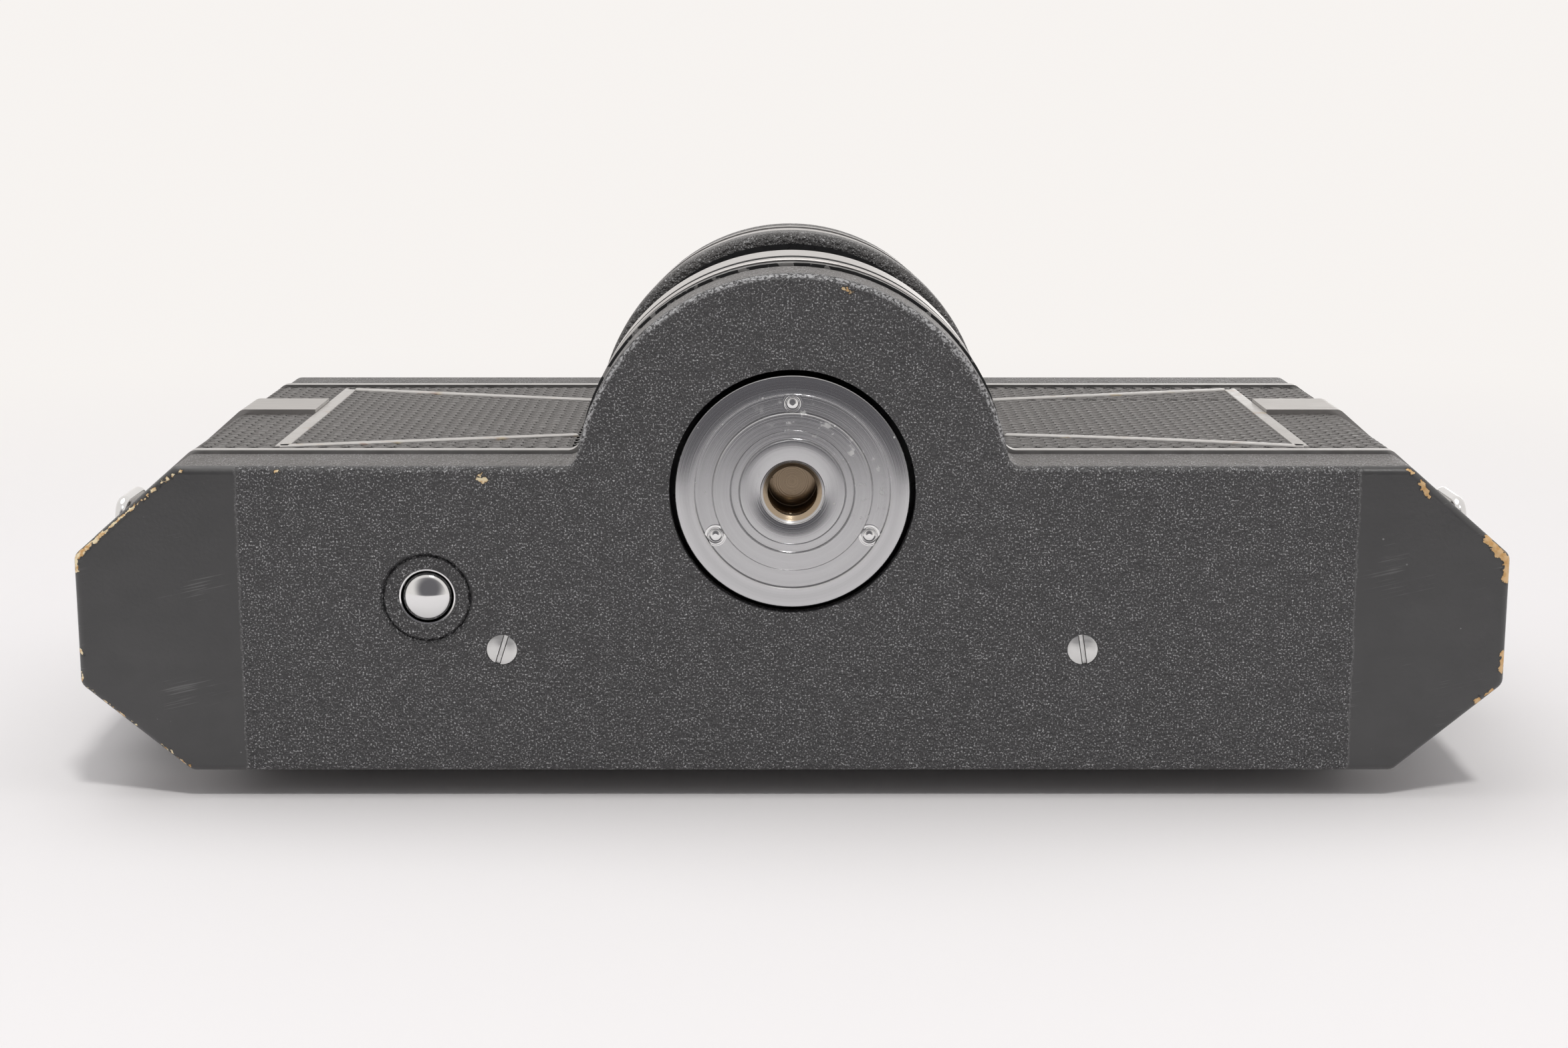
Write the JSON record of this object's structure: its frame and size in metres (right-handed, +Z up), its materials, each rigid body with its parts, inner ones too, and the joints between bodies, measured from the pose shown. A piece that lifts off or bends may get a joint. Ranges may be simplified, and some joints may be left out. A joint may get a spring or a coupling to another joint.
{
  "type": "panoramic camera",
  "caption": "Swing-lens panoramic film camera: long octagonal body with a round lens turret, top viewfinder, knobs, hinged back and a tripod socket in the base.",
  "frame": {"origin": "on the lens drum's axis at the face of the bottom plate, at the mouth of the tripod socket", "axes": "+Z up to the camera's top, -Y forward where the lens looks, +X to the right as seen from the front"},
  "size_m": [0.1596, 0.0556, 0.0881],
  "materials": {
    "crackle_black": "black wrinkle paint",
    "casting_black": "satin black paint",
    "leather_black": "embossed black leather cloth",
    "trim_silver": "satin",
    "turret_silver": "satin",
    "band_grey": "satin, grey",
    "disc_steel": "turned",
    "chrome": "polished",
    "screw_steel": "satin",
    "dark_steel": "satin",
    "brass": "turned",
    "drum_black": "matt black paint",
    "glass": "clear, coated",
    "level_green": "clear tinted",
    "knob_silver": "satin, knurled",
    "door_black": "satin black paint"
  },
  "bodies": {
    "camera_body": {"bottom_cover": "crackle_black", "top_cover": "crackle_black", "body_casting": "casting_black", "lower_trim": "trim_silver", "upper_trim": "trim_silver", "leather_left": "leather_black", "leather_right": "leather_black", "frame_left": "trim_silver", "frame_right": "trim_silver", "side_band_left": "band_grey", "side_band_right": "band_grey", "turret_ring_lower": "turret_silver", "turret_ring_upper": "crackle_black", "tripod_disc": "disc_steel", "disc_screws": "screw_steel", "cover_screws": "screw_steel", "top_screws": "screw_steel", "drum_bushes": "brass", "gear_posts": "dark_steel", "film_gate": "dark_steel", "roller_pins": "dark_steel", "release_collar": "chrome", "release_spring": "dark_steel", "button_spring": "dark_steel", "finder_housing": "crackle_black", "finder_front_glass": "glass", "eyepiece_ring": "door_black", "eyepiece_glass": "glass", "level_bezel": "chrome", "level_vial": "level_green", "hinge_pin": "dark_steel", "strap_lugs": "chrome"},
    "drum": {"lens_drum": "drum_black", "slit_mask": "drum_black", "lens_barrel": "drum_black", "lens_front_glass": "glass", "lens_rear_glass": "glass", "drum_pivots": "dark_steel", "drum_gear": "brass"},
    "governor": {"governor_rotor": "brass"},
    "spring_barrel": {"spring_barrel": "brass"},
    "winder": {"wind_shaft": "brass", "wind_knob": "knob_silver", "take_up_spool": "drum_black"},
    "counter": {"counter_dial": "knob_silver"},
    "sprocket": {"sprocket": "dark_steel"},
    "roller_left": {"guide_roller_left": "dark_steel"},
    "roller_right": {"guide_roller_right": "dark_steel"},
    "rewind_slide": {"rewind_collar": "brass"},
    "rewinder": {"rewind_knob": "knob_silver", "rewind_shaft": "dark_steel"},
    "speed_dial": {"speed_dial": "knob_silver"},
    "aperture_dial": {"aperture_dial": "knob_silver"},
    "release_button": {"release_button": "chrome"},
    "rewind_release": {"rewind_release_button": "chrome"},
    "door": {"back_door": "door_black", "door_leather": "leather_black"},
    "latch": {"door_latch": "chrome"},
    "ring_left": {"strap_ring_left": "chrome"},
    "ring_right": {"strap_ring_right": "chrome"}
  },
  "joints": [
    {"name": "drum_turn", "type": "hinge", "parent": "camera_body", "child": "drum", "pos_m": [0, 0, 0.035], "axis": [0, 0, 1], "range_deg": [-70, 70]},
    {"name": "governor_turn", "type": "hinge", "parent": "camera_body", "child": "governor", "pos_m": [0.01532, 0.01286, 0.063], "axis": [0, 0, 1], "range_deg": [-288, 288]},
    {"name": "barrel_turn", "type": "hinge", "parent": "camera_body", "child": "spring_barrel", "pos_m": [-0.016, 0.01789, 0.064], "axis": [0, 0, 1], "range_deg": [-144, 144]},
    {"name": "wind_turn", "type": "hinge", "parent": "camera_body", "child": "winder", "pos_m": [-0.05765, 0.0137, 0.07], "axis": [0, 0, 1], "continuous": true},
    {"name": "counter_turn", "type": "hinge", "parent": "camera_body", "child": "counter", "pos_m": [-0.05765, 0.0137, 0.077], "axis": [0, 0, 1], "continuous": true},
    {"name": "sprocket_turn", "type": "hinge", "parent": "camera_body", "child": "sprocket", "pos_m": [-0.0383, 0.0113, 0.035], "axis": [0, 0, 1], "continuous": true},
    {"name": "roller_left_turn", "type": "hinge", "parent": "camera_body", "child": "roller_left", "pos_m": [-0.02725, 0.00992, 0.035], "axis": [0, 0, 1], "continuous": true},
    {"name": "roller_right_turn", "type": "hinge", "parent": "camera_body", "child": "roller_right", "pos_m": [0.02725, 0.00992, 0.035], "axis": [0, 0, 1], "continuous": true},
    {"name": "rewind_lift", "type": "slide", "parent": "camera_body", "child": "rewind_slide", "axis": [0, 0, 1], "range_m": [0, 0.0046]},
    {"name": "rewind_turn", "type": "hinge", "parent": "rewind_slide", "child": "rewinder", "pos_m": [0.05765, 0.0137, 0.07], "axis": [0, 0, 1], "continuous": true},
    {"name": "speed_dial_turn", "type": "hinge", "parent": "camera_body", "child": "speed_dial", "pos_m": [-0.031, 0.019, 0.07], "axis": [0, 0, 1], "range_deg": [0, 80]},
    {"name": "aperture_dial_turn", "type": "hinge", "parent": "camera_body", "child": "aperture_dial", "pos_m": [0.031, 0.019, 0.07], "axis": [0, 0, 1], "range_deg": [0, 150]},
    {"name": "release_press", "type": "slide", "parent": "camera_body", "child": "release_button", "axis": [0, 0, -1], "range_m": [0, 0.002], "stiffness_N_per_m": 600, "springref_m": -0.001, "deforming": ["release_spring"]},
    {"name": "rewind_release_press", "type": "slide", "parent": "camera_body", "child": "rewind_release", "axis": [0, 0, 1], "range_m": [0, 0.0018], "stiffness_N_per_m": 500, "springref_m": -0.001, "deforming": ["button_spring"]},
    {"name": "door_swing", "type": "hinge", "parent": "camera_body", "child": "door", "pos_m": [-0.0759, 0.02079, 0.035], "axis": [0, 0, 1], "range_deg": [0, 120]},
    {"name": "latch_slide", "type": "slide", "parent": "camera_body", "child": "latch", "axis": [0, 0, 1], "range_m": [0, 0.003]},
    {"name": "ring_left_swing", "type": "hinge", "parent": "camera_body", "child": "ring_left", "pos_m": [-0.078, 0.0122, 0.04], "axis": [0, 1, 0], "range_deg": [-10, 150]},
    {"name": "ring_right_swing", "type": "hinge", "parent": "camera_body", "child": "ring_right", "pos_m": [0.078, 0.0122, 0.04], "axis": [0, 1, 0], "range_deg": [-150, 10]}
  ],
  "couplings": [
    {"joint": "governor_turn", "follows": "drum_turn", "ratio": -4},
    {"joint": "barrel_turn", "follows": "drum_turn", "ratio": -2},
    {"joint": "sprocket_turn", "follows": "wind_turn", "ratio": -1.3636},
    {"joint": "counter_turn", "follows": "wind_turn", "ratio": 0.03409}
  ]
}
